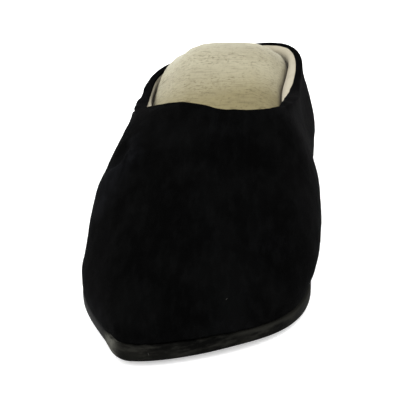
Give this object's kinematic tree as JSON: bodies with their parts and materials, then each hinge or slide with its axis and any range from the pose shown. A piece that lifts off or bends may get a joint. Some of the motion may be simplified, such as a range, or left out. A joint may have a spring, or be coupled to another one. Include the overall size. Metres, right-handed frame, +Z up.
{
  "type": "mule slipper",
  "caption": "Low slip-on mule slipper for the left foot: soft napped upper with an oblique pointed toe, thin rubber outsole and a thick domed padded insole.",
  "frame": {"origin": "Middle of the shoe's own box in plan, on the floor under the sole", "axes": "+Y points to the heel and -Y to the toe, +X to the outer side of the left foot, +Z up"},
  "size_m": [0.0998, 0.2668, 0.0715],
  "materials": {
    "rubber": "satin dark grey rubber",
    "nap": "matt black napped leather",
    "cream_cloth": "matt cream woven cloth over padding"
  },
  "bodies": {
    "root": {"outsole": "rubber", "upper": "nap", "insole": "cream_cloth"}
  },
  "joints": []
}
